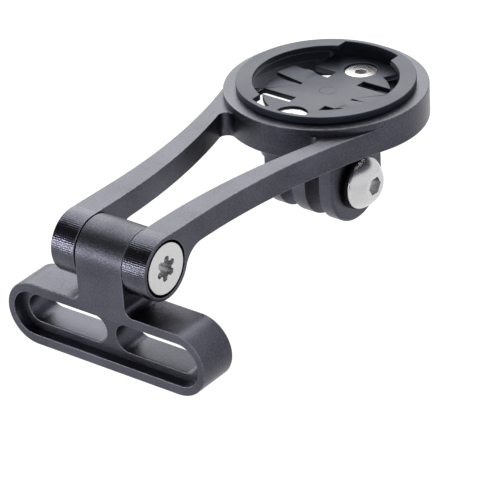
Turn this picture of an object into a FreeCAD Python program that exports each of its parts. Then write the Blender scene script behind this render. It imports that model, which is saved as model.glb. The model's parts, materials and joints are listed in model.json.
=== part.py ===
"""Bike computer mount: a hinged out-front arm with a quarter-turn seat and a finger mount below.

Frame: the origin is the middle of the bracket's mounting face, X runs along the handlebar and
the hinge, Y from the mounting face towards the ring, Z up. All sizes are in millimetres.
Each piece is drawn about its own centre and then placed.
"""
import FreeCAD, Part
import math
import os
import re

import Sketcher

# Driving sizes, each written once
SIZES = {
    # Handlebar block with its slotted web
    "slot_length": 17.0,        # two slots, 36 over both
    "slot_width": 5.0,
    "slot_bridge": 2.0,         # web between the slots
    "recess_ends": 1.7,         # recess floor beyond the slots
    "recess_sides": 1.5,
    "recess_depth": 1.9,
    "rim_ends": 1.35,           # rim around the recess
    "rim_sides": 1.9,
    "block_depth": 7.6,
    "foot_fillet": 1.5,         # neck to the top of the block
    # Hinge
    "knuckle_diameter": 11.3,
    "knuckle_clearance": 2.1,   # knuckles to the top of the block
    "tongue_width": 9.85,       # middle knuckle, on the block
    "cheek_width": 4.925,       # each knuckle of the arm
    "tongue_play": 0.04,        # at each running face
    "washer_thickness": 0.22,
    "washer_diameter": 9.0,
    "pivot_diameter": 5.0,
    "pivot_clearance": 0.05,    # radial, screw in a plain bore
    "thread_clearance": 0.03,   # radial, screw in its tapped hole
    "pivot_tip_inset": 0.45,
    "counterbore_rim": 0.7,     # knuckle's wall around the head
    "head_clearance": 0.45,     # radial, head in the counterbore
    "pivot_head_height": 2.7,
    "pivot_head_inset": 0.05,
    "lobe_recess_diameter": 4.5,
    "lobe_core_diameter": 3.0,
    "lobe_diameter": 1.2,
    "lobe_turn": 80.0,          # degrees from the arm to the first lobe
    "lobe_recess_depth": 1.9,
    # Arm and ring
    "arm_tilt": -1.7,           # degrees about the hinge, as photographed
    "arm_thickness": 4.6,
    "flare_start_outer": 11.0,
    "flare_start_inner": 5.0,
    "window_width": 22.8,       # between the arms where they reach the ring
    "underside_blend": 4.5,
    "corner_fillet": 1.4,
    "ring_reach": 58.35,        # hinge axis to the ring's centre
    "ring_wall": 2.75,
    "ring_rise": 1.3,           # the ring stands above the arms
    "lug_width": 10.0,
    # Quarter-turn insert
    "cavity_diameter": 30.0,
    "cavity_depth": 2.8,        # lip top to the floor
    "spigot_wall": 0.4,
    "insert_fit": 0.05,         # radial, insert in the ring and heads in their seats
    "collar_wall": 0.95,
    "collar_rise": 1.3,         # lip top above the ring
    "lip_overhang": 2.05,
    "lip_thickness": 1.15,
    "notch_width": 11.4,
    "floor_thickness": 1.0,
    "opening_width": 3.7,       # mould openings, inwards from the cavity's wall
    "front_opening_start": 212.0,  # degrees around the cavity
    "front_opening_end": 242.0,
    "slot_start": 3.2,          # relief slots, from the middle
    "slot_margin": 1.2,
    "front_slot_width": 1.9,
    "rear_slot_width": 2.5,
    "corner_reach": 7.75,       # floor behind the rear slot, from the middle
    "slit_width": 0.5,
    "tongue_breadth": 4.8,
    "tongue_root": 5.6,
    "tongue_anchor": 1.1,       # root sunk in the floor
    "tongue_rise": 0.75,
    "tongue_thickness": 0.85,
    "bump_reach": 7.3,          # detent bump's middle, from the seat's middle
    "bump_length": 4.6,
    "bump_rise": 0.55,
    "bump_start": 1.6,          # bump's near end, from the slit
    "bump_sink": 0.1,
    # Insert screws
    "screw_inset": 4.55,        # screw centres from the cavity's wall
    "pad_clearance": 0.15,
    "m3_diameter": 3.0,
    "m3_head_diameter": 5.9,
    "m3_head_height": 1.1,
    "m3_socket": 2.0,
    "m3_socket_depth": 0.9,
    "m3_tip_inset": 0.4,
    "screw_clearance": 0.1,
    "head_sink": 0.4,
    "seat_land": 0.6,           # pad left below the head
    # Finger mount
    "plate_thickness": 2.5,
    "ear_diameter": 11.2,
    "prong_thickness": 3.0,
    "prong_gap": 3.1,
    "prong_diameter": 15.0,
    "prong_drop": 10.45,        # plate top to the bolt's axis
    "prong_shift": -1.85,       # bolt's axis from the ring's centre, towards the hinge
    "prong_edge": 0.4,
    "nut_pocket_depth": 1.4,
    # Clamping bolt, washer and nut
    "bolt_diameter": 5.0,
    "bolt_clearance": 0.1,      # radial, in the prongs
    "bolt_stickout": 0.5,
    "bolt_head_diameter": 9.5,
    "bolt_head_height": 2.75,
    "bolt_head_crown": 5.2,     # flat on top of the head
    "bolt_head_rim": 0.4,
    "bolt_socket": 3.0,
    "bolt_socket_depth": 1.7,
    "bolt_washer_diameter": 10.0,
    "bolt_washer_thickness": 1.0,
    "nut_across_flats": 8.0,
    "nut_thickness": 2.7,
    "nut_clearance": 0.05,
}

# What follows from the driving sizes. Heights are above the hinge axis for the arm and above
# the top of the ring for the insert.
DERIVED = {
    "slot_pitch": "slot_length + slot_bridge",
    "recess_length": "slot_pitch + slot_length + 2 * recess_ends",
    "recess_height": "slot_width + 2 * recess_sides",
    "block_length": "recess_length + 2 * rim_ends",
    "block_height": "recess_height + 2 * rim_sides",
    "knuckle_radius": "knuckle_diameter / 2",
    "block_drop": "knuckle_radius + knuckle_clearance + block_height / 2",
    "fork_gap": "tongue_width + washer_thickness + 2 * tongue_play",
    "hinge_width": "fork_gap + 2 * cheek_width",
    "tongue_centre": "(fork_gap - tongue_width) / 2 - tongue_play",
    "pivot_radius": "pivot_diameter / 2",
    "pivot_bore_radius": "pivot_radius + pivot_clearance",
    "pivot_length": "hinge_width - pivot_head_height - pivot_head_inset - pivot_tip_inset",
    "counterbore_radius": "knuckle_radius - counterbore_rim",
    "pivot_head_radius": "counterbore_radius - head_clearance",
    "lobe_reach": "(lobe_recess_diameter - lobe_diameter) / 2",
    "arm_bottom": "knuckle_radius - arm_thickness",
    "ring_height": "arm_thickness + ring_rise",
    "ring_top": "arm_bottom + ring_height",
    "cavity_radius": "cavity_diameter / 2",
    "spigot_radius": "cavity_radius + spigot_wall",
    "bore_radius": "spigot_radius + insert_fit",
    "ring_radius": "bore_radius + ring_wall",
    "collar_radius": "cavity_radius + collar_wall",
    "lip_radius": "cavity_radius - lip_overhang",
    "floor_radius": "cavity_radius - opening_width",
    "floor_top": "collar_rise - cavity_depth",
    "floor_bottom": "floor_top - floor_thickness",
    "opening_top": "collar_rise - lip_thickness",
    "opening_depth": "opening_top - floor_bottom",
    "slot_end": "floor_radius - slot_margin",
    "rear_slot_end": "tongue_breadth + rear_slot_width",
    "bump_base": "floor_top - tongue_thickness / 3",
    "screw_offset": "cavity_radius - screw_inset",
    "m3_radius": "m3_diameter / 2",
    "m3_head_radius": "m3_head_diameter / 2",
    "m3_bore_radius": "m3_radius + screw_clearance",
    "seat_radius": "m3_head_radius + insert_fit",
    "head_top": "floor_top - head_sink",
    "seat_floor": "head_top - m3_head_height",
    "lug_top": "seat_floor - seat_land",
    "lug_thickness": "lug_top + ring_height",
    "m3_length": "head_top + ring_height + plate_thickness - m3_tip_inset",
    "finger_width": "3 * prong_thickness + 2 * prong_gap",
    "bolt_radius": "bolt_diameter / 2",
    "bolt_bore_radius": "bolt_radius + bolt_clearance",
    "nut_seat": "nut_pocket_depth - finger_width / 2",
    "dome_centre": "((bolt_head_crown ^ 2 - bolt_head_diameter ^ 2) / 4 + bolt_head_height ^ 2 - bolt_head_rim ^ 2)"
                   " / (2 * (bolt_head_height - bolt_head_rim))",
    "dome_radius": "sqrt((bolt_head_rim - dome_centre) ^ 2 + bolt_head_diameter ^ 2 / 4)",
    "bolt_length": "bolt_washer_thickness + finger_width / 2 + nut_thickness - nut_seat + bolt_stickout",
}

X_AXIS = FreeCAD.Vector(1, 0, 0)
Y_AXIS = FreeCAD.Vector(0, 1, 0)
Z_AXIS = FreeCAD.Vector(0, 0, 1)

document = FreeCAD.newDocument("computer_mount")


def add_sheet(name, cells):
    """A sheet with one named cell on each row."""
    sheet = document.addObject("Spreadsheet::Sheet", name)
    for row, (alias, content) in enumerate(cells.items(), start=1):
        sheet.set(f"A{row}", alias)
        sheet.set(f"B{row}", content)
        sheet.setAlias(f"B{row}", alias)
    document.recompute()
    return sheet


def expand(expression):
    """Puts the right sheet's name before each alias in an expression."""
    def with_sheet(match):
        word = match.group()
        if word in SIZES:
            return f"Sizes.{word}"
        return f"Derived.{word}" if word in DERIVED else word

    return re.sub(r"\b[a-z][a-z0-9_]*\b", with_sheet, expression)


sizes = add_sheet("Sizes", {alias: str(size) for alias, size in SIZES.items()})
derived = add_sheet("Derived", {alias: f"={expand(formula)}" for alias, formula in DERIVED.items()})


def number(expression):
    """The present value of an expression, in millimetres or degrees."""
    value = sizes.evalExpression(expand(expression))
    return float(getattr(value, "Value", value))


def bind(item, name, expression):
    """Ties one property of an object to an expression over the sheets."""
    item.setExpression(name, expand(expression))


# Sketches


def sketch_on(body, name, plane, offset="0"):
    """A sketch on one of the body's origin planes, moved along the plane's normal."""
    sketch = body.newObject("Sketcher::SketchObject", name)
    role = f"{plane}_Plane"
    support = next(item for item in body.Origin.OriginFeatures if item.Role == role)
    sketch.AttachmentSupport = [(support, "")]
    sketch.MapMode = "FlatFace"
    sketch.AttachmentOffset = FreeCAD.Placement(FreeCAD.Vector(0, 0, number(offset)), FreeCAD.Rotation())
    bind(sketch, "AttachmentOffset.Base.z", offset)
    return sketch


def fix(sketch, kind, *where, to):
    """Adds one dimension and binds it."""
    index = sketch.addConstraint(Sketcher.Constraint(kind, *where, number(to)))
    bind(sketch, f"Constraints[{index}]", to)


def fix_point(sketch, geometry, position, x, y):
    fix(sketch, "DistanceX", -1, 1, geometry, position, to=x)
    fix(sketch, "DistanceY", -1, 1, geometry, position, to=y)


def add_circle(sketch, x, y, radius):
    centre = FreeCAD.Vector(number(x), number(y), 0)
    circle = sketch.addGeometry(Part.Circle(centre, Z_AXIS, number(radius)))
    fix_point(sketch, circle, 3, x, y)
    fix(sketch, "Radius", circle, to=radius)


def add_outline(sketch, corners, arcs=None):
    """A closed outline through corners, each a pair of expressions.

    arcs gives, for an edge's number, its radius and the side of its centre seen along
    the outline: "left" or "right". All other edges are straight.
    """
    arcs = arcs or {}
    points = [FreeCAD.Vector(number(x), number(y), 0) for x, y in corners]
    ends = []
    for index, start in enumerate(points):
        stop = points[(index + 1) % len(points)]
        if index not in arcs:
            ends.append((sketch.addGeometry(Part.LineSegment(start, stop)), 1, 2))
            continue
        radius, side = arcs[index]
        chord = stop - start
        normal = FreeCAD.Vector(-chord.y, chord.x, 0).normalize()
        if side == "right":
            normal = normal * -1
        height = math.sqrt(number(radius) ** 2 - (chord.Length / 2) ** 2)
        centre = (start + stop) * 0.5 + normal * height
        first, last = (start, stop) if side == "left" else (stop, start)
        angles = [math.atan2(p.y - centre.y, p.x - centre.x) for p in (first, last)]
        circle = Part.Circle(centre, Z_AXIS, number(radius))
        geometry = sketch.addGeometry(Part.ArcOfCircle(circle, *angles))
        fix(sketch, "Radius", geometry, to=radius)
        ends.append((geometry, 1, 2) if side == "left" else (geometry, 2, 1))
    for index, (geometry, begin, end) in enumerate(ends):
        following = ends[(index + 1) % len(ends)]
        sketch.addConstraint(Sketcher.Constraint("Coincident", geometry, end, following[0], following[1]))
        fix_point(sketch, geometry, begin, *corners[index])


def add_rectangle(sketch, left, right, low, high):
    add_outline(sketch, [(left, low), (right, low), (right, high), (left, high)])


def add_obround(sketch, x, y, length, width, upright=False):
    """A slot shape along the sketch's first axis, or along its second one if upright."""
    radius = number(width) / 2
    half = number(length) / 2 - radius
    middle = FreeCAD.Vector(number(x), number(y), 0)
    along, turn = (Y_AXIS, math.pi / 2) if upright else (X_AXIS, 0)
    arcs = []
    for side, start in ((1, -math.pi / 2), (-1, math.pi / 2)):
        circle = Part.Circle(middle + along * half * side, Z_AXIS, radius)
        arcs.append(sketch.addGeometry(Part.ArcOfCircle(circle, start + turn, start + turn + math.pi)))
        shift = f"({side}) * (({length}) - ({width})) / 2"
        spot = (x, f"({y}) + {shift}") if upright else (f"({x}) + {shift}", y)
        fix_point(sketch, arcs[-1], 3, *spot)
        fix(sketch, "Radius", arcs[-1], to=f"({width}) / 2")
        for end in (1, 2):
            level = "Horizontal" if upright else "Vertical"
            sketch.addConstraint(Sketcher.Constraint(level, arcs[-1], end, arcs[-1], 3))
    for arc, other in (arcs, arcs[::-1]):
        ends = [sketch.getPoint(arc, 2), sketch.getPoint(other, 1)]
        line = sketch.addGeometry(Part.LineSegment(*ends))
        sketch.addConstraint(Sketcher.Constraint("Coincident", line, 1, arc, 2))
        sketch.addConstraint(Sketcher.Constraint("Coincident", line, 2, other, 1))


def add_hexagon(sketch, x, y, across_flats):
    """A hexagon with a corner on the sketch's first axis."""
    reach = f"({across_flats}) / sqrt(3)"
    half = f"({across_flats}) / 2"
    corners = [(1, 0), (0.5, 1), (-0.5, 1), (-1, 0), (-0.5, -1), (0.5, -1)]
    add_outline(sketch, [(f"{x} + ({i}) * {reach}", f"{y} + ({j}) * {half}") for i, j in corners])


# Features


def new_body(label):
    body = document.addObject("PartDesign::Body", label)
    body.Label = label
    return body


def extrude(body, kind, sketch, length, reverse=False, symmetric=False):
    """A pad or a pocket; a pocket without a length goes through everything."""
    feature = body.newObject(f"PartDesign::{kind}", f"{sketch.Name}_{kind.lower()}")
    feature.Profile = sketch
    feature.Reversed = reverse
    feature.SideType = "Symmetric" if symmetric else "One side"
    if length is None:
        feature.Type = "ThroughAll"
    else:
        bind(feature, "Length", length)
    document.recompute()
    return feature


def pad(body, sketch, length, **options):
    return extrude(body, "Pad", sketch, length, **options)


def pocket(body, sketch, length=None, **options):
    return extrude(body, "Pocket", sketch, length, **options)


def revolve(body, sketch, axis, kind="Revolution"):
    """A full turn about one of the sketch's own axes."""
    feature = body.newObject(f"PartDesign::{kind}", f"{sketch.Name}_turned")
    feature.Profile = sketch
    feature.ReferenceAxis = (sketch, [axis])
    feature.Angle = 360
    document.recompute()
    return feature


def spin_copies(body, features, axis, count):
    """Repeats features evenly about one of the body's origin axes."""
    pattern = body.newObject("PartDesign::PolarPattern", f"{features[0].Name}_pattern")
    pattern.Originals = features
    origin_axis = next(item for item in body.Origin.OriginFeatures if item.Role == f"{axis}_Axis")
    pattern.Axis = (origin_axis, [""])
    pattern.Angle = 360
    pattern.Occurrences = count
    body.Tip = pattern
    document.recompute()
    return pattern


def dress(body, kind, pick, size):
    """A fillet or a chamfer on the edges of the body's present shape that pick accepts."""
    base = body.Tip
    names = [f"Edge{i}" for i, edge in enumerate(base.Shape.Edges, start=1) if pick(edge)]
    if not names:
        raise ValueError(f"{body.Label}: no edge for this {kind.lower()}")
    feature = body.newObject(f"PartDesign::{kind}", f"{base.Name}_{kind.lower()}")
    feature.Base = (base, names)
    bind(feature, "Radius" if kind == "Fillet" else "Size", size)
    document.recompute()
    return feature


def centre_of(edge):
    return edge.BoundBox.Center


def runs_along(edge, direction):
    """True for a straight edge parallel to a direction."""
    if not isinstance(edge.Curve, Part.Line):
        return False
    return abs(abs(edge.tangentAt(edge.FirstParameter).dot(direction)) - 1) < 1e-6


def in_plane(edge, axis, height, slack=1e-4):
    """True for an edge that lies in the plane where one coordinate has this value."""
    box = edge.BoundBox
    low, high = getattr(box, f"{axis}Min"), getattr(box, f"{axis}Max")
    return abs(low - height) < slack and abs(high - height) < slack


def place_on_bracket(body, across="0"):
    """Seats a body that is drawn about the hinge axis."""
    for key, expression in (("x", across), ("y", "knuckle_radius"), ("z", "block_drop")):
        bind(body, f".Placement.Base.{key}", expression)


def place_on_arm(body, along, up, across="0"):
    """Seats a body in the arm's own frame, which is turned about the hinge by the tilt."""
    tilt = "(arm_tilt * 1 deg)"
    body.Placement = FreeCAD.Placement(FreeCAD.Vector(), FreeCAD.Rotation(X_AXIS, number("arm_tilt")))
    bind(body, ".Placement.Rotation.Angle", tilt)
    bind(body, ".Placement.Base.x", across)
    bind(body, ".Placement.Base.y", f"knuckle_radius + ({along}) * cos({tilt}) - ({up}) * sin({tilt})")
    bind(body, ".Placement.Base.z", f"block_drop + ({along}) * sin({tilt}) + ({up}) * cos({tilt})")


def build_bracket():
    """Handlebar block: an obround bar with a slotted web, a neck and the middle knuckle."""
    body = new_body("handlebar_bracket")
    outline = sketch_on(body, "block_outline", "XZ", "knuckle_radius")
    add_obround(outline, "0", "-block_drop", "block_length", "block_height")
    pad(body, outline, "block_depth", reverse=True)

    # The neck's feet sweep out to the block, and its front runs into the knuckle
    neck = sketch_on(body, "neck", "XZ", "knuckle_radius")
    foot = "(block_height / 2 - block_drop)"
    left, right = (f"(tongue_centre {sign} tongue_width / 2)" for sign in "-+")
    add_outline(neck, [
        (f"{left} - foot_fillet", "-block_drop"),
        (f"{right} + foot_fillet", "-block_drop"),
        (f"{right} + foot_fillet", foot),
        (right, f"{foot} + foot_fillet"),
        (right, "0"),
        (left, "0"),
        (left, f"{foot} + foot_fillet"),
        (f"{left} - foot_fillet", foot),
    ], {2: ("foot_fillet", "right"), 6: ("foot_fillet", "right")})
    pad(body, neck, "block_depth", reverse=True)
    knuckle = sketch_on(body, "knuckle", "YZ", "tongue_centre")
    add_circle(knuckle, "0", "0", "knuckle_radius")
    pad(body, knuckle, "tongue_width", symmetric=True)

    recess = sketch_on(body, "recess", "XZ", "knuckle_radius")
    add_obround(recess, "0", "-block_drop", "recess_length", "recess_height")
    pocket(body, recess, "recess_depth")
    slots = sketch_on(body, "slots", "XZ", "knuckle_radius")
    for sign in "-+":
        add_obround(slots, f"{sign}slot_pitch / 2", "-block_drop", "slot_length", "slot_width")
    pocket(body, slots)
    bore = sketch_on(body, "pivot_bore", "YZ")
    add_circle(bore, "0", "0", "pivot_bore_radius")
    pocket(body, bore, symmetric=True)
    place_on_bracket(body)


def build_hinge_washer():
    """Thin friction washer between the middle knuckle and the threaded cheek."""
    body = new_body("hinge_washer")
    ring = sketch_on(body, "washer_ring", "YZ", "tongue_play / 2 - fork_gap / 2")
    add_circle(ring, "0", "0", "washer_diameter / 2")
    add_circle(ring, "0", "0", "pivot_bore_radius")
    pad(body, ring, "washer_thickness")
    place_on_bracket(body)


def build_arm():
    """Fork, two flared arms and the ring, milled from one billet."""
    body = new_body("ring_arm")
    knuckles = sketch_on(body, "fork_knuckles", "YZ")
    add_circle(knuckles, "0", "0", "knuckle_radius")
    pad(body, knuckles, "hinge_width", symmetric=True)

    # Outer flares: arcs tangent to the straight sides and to the ring
    side = "hinge_width / 2"
    rise = "(ring_reach - flare_start_outer)"
    flare = f"((({side}) ^ 2 + {rise} ^ 2 - ring_radius ^ 2) / (2 * (ring_radius - {side})))"
    share = f"(ring_radius / ({flare} + ring_radius))"
    touch_side, touch_along = f"({side} + {flare}) * {share}", f"ring_reach - {rise} * {share}"
    plan = sketch_on(body, "arm_plan", "XY", "arm_bottom")
    corners = [
        (f"-{side}", "0"),
        (side, "0"),
        (side, "flare_start_outer"),
        (touch_side, touch_along),
        ("0", "ring_reach + ring_radius"),
        (f"-{touch_side}", touch_along),
        (f"-{side}", "flare_start_outer"),
    ]
    arcs = {2: (flare, "right"), 3: ("ring_radius", "left"), 4: ("ring_radius", "left"), 5: (flare, "right")}
    add_outline(plan, corners, arcs)
    pad(body, plan, "arm_thickness")

    low, knuckle = number("arm_bottom"), number("knuckle_radius")

    def is_underside(edge):
        centre = centre_of(edge)
        return runs_along(edge, X_AXIS) and abs(centre.z - low) < 1e-4 and 0 < centre.y < knuckle

    dress(body, "Fillet", is_underside, "underside_blend")

    # Window between the arms, as wide as the fork's gap at the hinge
    side, half = "fork_gap / 2", "window_width / 2"
    top = f"(ring_reach - sqrt(ring_radius ^ 2 - ({half}) ^ 2))"
    spread = f"({half} - {side})"
    flare = f"(({spread} ^ 2 + ({top} - flare_start_inner) ^ 2) / (2 * {spread}))"
    window = sketch_on(body, "arm_window", "XY")
    corners = [(f"-{side}", "-knuckle_diameter"), (side, "-knuckle_diameter"), (side, "flare_start_inner"),
               (half, top), (f"-{half}", top), (f"-{side}", "flare_start_inner")]
    arcs = {2: (flare, "right"), 3: ("ring_radius", "right"), 4: (flare, "right")}
    add_outline(window, corners, arcs)
    pocket(body, window, symmetric=True)
    reach = number(top)

    def is_inner_corner(edge):
        return runs_along(edge, Z_AXIS) and abs(centre_of(edge).y - reach) < 1e-3

    dress(body, "Fillet", is_inner_corner, "corner_fillet")

    ring = sketch_on(body, "ring_profile", "XZ", "-ring_reach")
    add_rectangle(ring, "0", "ring_radius", "arm_bottom", "ring_top")
    revolve(body, ring, "V_Axis")
    bore = sketch_on(body, "ring_bore", "XY", "ring_top")
    add_circle(bore, "0", "ring_reach", "bore_radius")
    pocket(body, bore)
    add_lugs(body)
    add_pivot_bores(body)
    place_on_arm(body, "0", "0")


def add_lugs(body):
    """Two lugs inside the ring, front and back, that the insert's screws pass through."""
    tabs = sketch_on(body, "lug_tabs", "XY", "arm_bottom")
    sides = ("-lug_width / 2", "lug_width / 2")
    root = "(bore_radius + ring_radius) / 2"
    add_rectangle(tabs, *sides, "ring_reach + screw_offset", f"ring_reach + {root}")
    add_rectangle(tabs, *sides, f"ring_reach - {root}", "ring_reach - screw_offset")
    pad(body, tabs, "lug_thickness")
    bosses = sketch_on(body, "lug_bosses", "XY", "arm_bottom")
    holes = sketch_on(body, "lug_holes", "XY", "ring_top")
    for sign in "-+":
        add_circle(bosses, "0", f"ring_reach {sign} screw_offset", "lug_width / 2")
        add_circle(holes, "0", f"ring_reach {sign} screw_offset", "m3_bore_radius")
    pad(body, bosses, "lug_thickness")
    pocket(body, holes)


def add_pivot_bores(body):
    """Counterbored clearance hole in the +X knuckle and a tapped hole in the other."""
    counterbore = sketch_on(body, "head_counterbore", "YZ", "hinge_width / 2")
    add_circle(counterbore, "0", "0", "counterbore_radius")
    pocket(body, counterbore, "pivot_head_height + pivot_head_inset")
    clearance = sketch_on(body, "pivot_clearance_hole", "YZ", "hinge_width / 2")
    add_circle(clearance, "0", "0", "pivot_bore_radius")
    pocket(body, clearance, "hinge_width / 2")
    thread = sketch_on(body, "pivot_thread", "YZ")
    add_circle(thread, "0", "0", "pivot_radius + thread_clearance")
    pocket(body, thread)


def build_hinge_screw():
    """Flat-headed hinge screw with a six-lobe recess, threaded into the far knuckle."""
    body = new_body("hinge_screw")
    profile = sketch_on(body, "pivot_profile", "XZ")
    add_outline(profile, [
        ("-pivot_length", "0"),
        ("pivot_head_height", "0"),
        ("pivot_head_height", "pivot_head_radius"),
        ("0", "pivot_head_radius"),
        ("0", "pivot_radius"),
        ("-pivot_length", "pivot_radius"),
    ])
    revolve(body, profile, "H_Axis")
    core = sketch_on(body, "lobe_core", "YZ", "pivot_head_height")
    add_circle(core, "0", "0", "lobe_core_diameter / 2")
    pocket(body, core, "lobe_recess_depth")
    lobe = sketch_on(body, "lobe", "YZ", "pivot_head_height")
    turn = "(lobe_turn * 1 deg)"
    add_circle(lobe, f"lobe_reach * cos({turn})", f"lobe_reach * sin({turn})", "lobe_diameter / 2")
    cut = pocket(body, lobe, "lobe_recess_depth")
    spin_copies(body, [cut], "X", 6)
    place_on_arm(body, "0", "0", "hinge_width / 2 - pivot_head_inset - pivot_head_height")


def sector(inner, outer, first, last):
    """Corners and arcs of a ring sector between two angles."""
    spots = [(inner, first), (outer, first), (outer, last), (inner, last)]
    corners = [(f"{radius} * cos({angle})", f"{radius} * sin({angle})") for radius, angle in spots]
    return corners, {1: (outer, "left"), 3: (inner, "right")}


def build_insert():
    """Moulded quarter-turn seat: collar, two lips, sprung tongues and mould openings."""
    body = new_body("quarter_turn_insert")
    shell = sketch_on(body, "seat_profile", "XZ")
    add_outline(shell, [
        ("0", "floor_bottom"),
        ("spigot_radius", "floor_bottom"),
        ("spigot_radius", "0"),
        ("collar_radius", "0"),
        ("collar_radius", "collar_rise"),
        ("lip_radius", "collar_rise"),
        ("lip_radius", "collar_rise - lip_thickness"),
        ("cavity_radius", "collar_rise - lip_thickness"),
        ("cavity_radius", "floor_top"),
        ("0", "floor_top"),
    ])
    revolve(body, shell, "V_Axis")

    # Gaps in the lip where the computer's two tabs drop in
    reach = "sqrt(cavity_radius ^ 2 - (notch_width / 2) ^ 2)"
    notches = sketch_on(body, "lip_notches", "XY", "collar_rise")
    corners = [("-notch_width / 2", f"-{reach}"), ("notch_width / 2", f"-{reach}"),
               ("notch_width / 2", reach), ("-notch_width / 2", reach)]
    add_outline(notches, corners, {0: ("cavity_radius", "left"), 2: ("cavity_radius", "left")})
    pocket(body, notches, "lip_thickness")

    add_tongues(body)
    add_floor_openings(body)
    add_screw_seats(body)
    place_on_arm(body, "ring_reach", "ring_top")


def add_tongues(body):
    """A sprung tongue that rises towards its tip, with a rounded detent bump, twice around."""
    bay = sketch_on(body, "tongue_bay", "XY", "floor_top")
    add_rectangle(bay, "-floor_radius", "-tongue_root", "0", "tongue_breadth")
    gap = pocket(body, bay, "floor_thickness")
    tongue = sketch_on(body, "tongue", "XZ", "-tongue_breadth")
    add_outline(tongue, [
        ("-floor_radius", "floor_top + tongue_rise - tongue_thickness"),
        ("-tongue_root", "floor_bottom"),
        ("tongue_anchor - tongue_root", "floor_bottom"),
        ("tongue_anchor - tongue_root", "floor_top"),
        ("-tongue_root", "floor_top"),
        ("-floor_radius", "floor_top + tongue_rise"),
    ])
    spring = pad(body, tongue, "tongue_breadth - slit_width")
    ends = [bump_section(body, "bump_start", "bump_start", "bump_sink"),
            bump_section(body, "bump_end", "tongue_breadth", "(bump_rise + bump_sink)")]
    bump = body.newObject("PartDesign::AdditiveLoft", "bump_loft")
    bump.Profile = ends[0]
    bump.Sections = ends[1:]
    bump.Ruled = True
    document.recompute()
    spin_copies(body, [gap, spring, bump], "Z", 2)


def bump_section(body, name, across, rise):
    """The detent bump's section at one distance from the slit: an arch that stands in the tongue."""
    sketch = sketch_on(body, f"{name}_section", "XZ", f"-{across}")
    left, right = (f"{sign}bump_length / 2 - bump_reach" for sign in "-+")
    foot = "floor_top - bump_sink"
    radius = f"((bump_length ^ 2 / 4 + {rise} ^ 2) / (2 * {rise}))"
    add_outline(sketch, [(left, "bump_base"), (right, "bump_base"), (right, foot), (left, foot)],
                {2: (radius, "left")})
    return sketch


def add_floor_openings(body):
    """Mould openings under the lips and the relief slots beside the tongues, twice around."""
    side = sketch_on(body, "side_opening", "XY", "opening_top")
    reach = "asin(tongue_breadth / floor_radius)"
    add_outline(side, *sector("floor_radius", "cavity_radius", f"(180 deg - {reach})", f"(180 deg + {reach})"))
    front = sketch_on(body, "front_opening", "XY", "opening_top")
    add_outline(front, *sector("floor_radius", "cavity_radius", "(front_opening_start * 1 deg)",
                               "(front_opening_end * 1 deg)"))
    rear = sketch_on(body, "rear_opening", "XY", "opening_top")
    add_outline(rear, [
        ("-slot_start", "tongue_breadth"),
        ("-slot_start", "rear_slot_end"),
        ("-corner_reach", "rear_slot_end"),
        ("-corner_reach", "sqrt(cavity_radius ^ 2 - corner_reach ^ 2)"),
        ("-sqrt(cavity_radius ^ 2 - tongue_breadth ^ 2)", "tongue_breadth"),
    ], {3: ("cavity_radius", "left")})
    slot = sketch_on(body, "front_slot", "XY", "opening_top")
    add_rectangle(slot, "-slot_end", "-slot_start", "-tongue_breadth - front_slot_width", "-tongue_breadth")
    cuts = [pocket(body, sketch, "opening_depth") for sketch in (side, front, rear, slot)]
    spin_copies(body, cuts, "Z", 2)


def add_screw_seats(body):
    """Counterbored holes over pads that stand on the ring's lugs, twice around."""
    under = sketch_on(body, "screw_pad", "XY", "floor_bottom")
    add_circle(under, "0", "-screw_offset", "spigot_radius - screw_offset - pad_clearance")
    stand = pad(body, under, "floor_bottom - lug_top", reverse=True)
    spin_copies(body, [stand], "Z", 2)
    seat = sketch_on(body, "screw_seat", "XZ", "screw_offset")
    add_outline(seat, [
        ("0", "lug_top"),
        ("m3_bore_radius", "lug_top"),
        ("m3_bore_radius", "seat_floor"),
        ("seat_radius", "seat_floor"),
        ("seat_radius", "floor_top"),
        ("0", "floor_top"),
    ])
    cut = revolve(body, seat, "V_Axis", "Groove")
    spin_copies(body, [cut], "Z", 2)


def build_insert_screw(label, along):
    """Low-headed socket screw that clamps the insert and the finger mount to the ring's lugs."""
    body = new_body(label)
    profile = sketch_on(body, f"{label}_profile", "XZ")
    add_outline(profile, [
        ("0", "-m3_length"),
        ("m3_radius", "-m3_length"),
        ("m3_radius", "-m3_head_height"),
        ("m3_head_radius", "-m3_head_height"),
        ("m3_head_radius", "0"),
        ("0", "0"),
    ])
    revolve(body, profile, "V_Axis")
    socket = sketch_on(body, f"{label}_socket", "XY")
    add_hexagon(socket, "0", "0", "m3_socket")
    pocket(body, socket, "m3_socket_depth")
    place_on_arm(body, along, "ring_top + head_top")


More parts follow.
